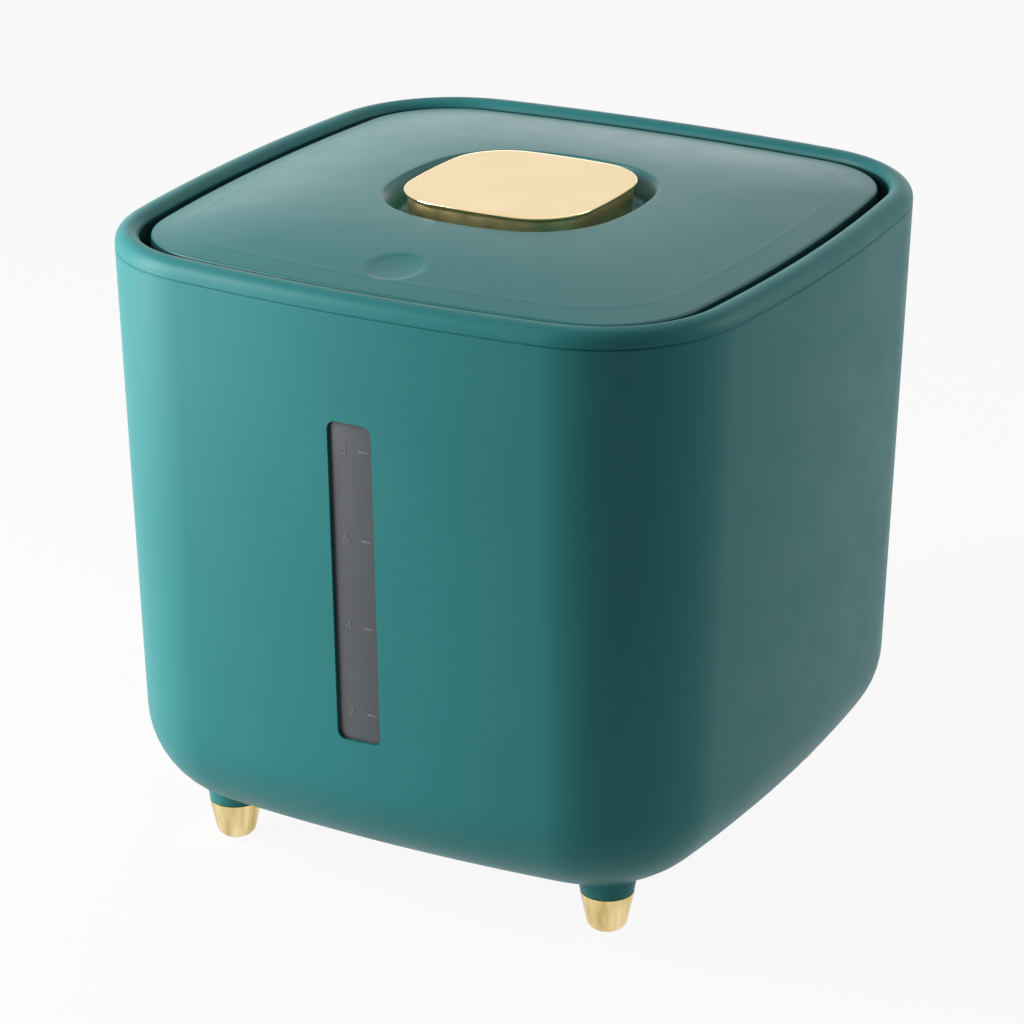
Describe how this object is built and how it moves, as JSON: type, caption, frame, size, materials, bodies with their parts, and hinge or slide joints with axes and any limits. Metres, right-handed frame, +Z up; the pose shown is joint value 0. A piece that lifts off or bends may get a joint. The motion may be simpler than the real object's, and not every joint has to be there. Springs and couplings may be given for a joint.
{
  "type": "rice container",
  "caption": "Square-round countertop rice bin with a press-to-open hinged lid, raised gold grip in a hand recess, smoked level window and gold feet.",
  "frame": {"origin": "on the floor, under the middle of the body", "axes": "+Z up, -Y towards the front face with the level window, +X to the viewer's right when facing that face"},
  "size_m": [0.2562, 0.2562, 0.2528],
  "materials": {
    "body_plastic": "satin moulded plastic, deep teal green",
    "inner_plastic": "matt moulded plastic, teal green",
    "window_plastic": "smoked see-through plastic",
    "gold_plate": "polished pale gold plating on plastic",
    "seal_rubber": "translucent white silicone",
    "steel": "bright steel",
    "latch_plastic": "black engineering plastic",
    "magnet": "nickel-plated magnet"
  },
  "bodies": {
    "base": {"body_shell": "body_plastic", "collar_ring": "body_plastic", "level_window": "window_plastic", "foot_front_left": "gold_plate", "foot_front_right": "gold_plate", "foot_rear_left": "gold_plate", "foot_rear_right": "gold_plate", "hinge_pin_left": "steel", "hinge_pin_right": "steel", "hinge_spring_left": "steel", "hinge_spring_right": "steel", "latch_housing": "latch_plastic", "latch_spring": "steel", "latch_screws": "steel"},
    "lid": {"lid_shell": "body_plastic", "lid_liner": "inner_plastic", "lid_seal": "seal_rubber", "lid_screws": "steel", "grip_cap": "gold_plate", "grip_screws": "steel", "strike_plate": "steel"},
    "plunger": {"latch_plunger": "latch_plastic", "latch_magnet": "magnet"}
  },
  "joints": [
    {"name": "lid_hinge", "type": "hinge", "parent": "base", "child": "lid", "pos_m": [0, 0.1044, 0.2388], "axis": [-1, 0, 0], "range_deg": [0, 64]},
    {"name": "latch_press", "type": "slide", "parent": "base", "child": "plunger", "axis": [0, 0, 1], "range_m": [-0.003, 0], "stiffness_N_per_m": 200, "deforming": ["latch_spring"]}
  ]
}
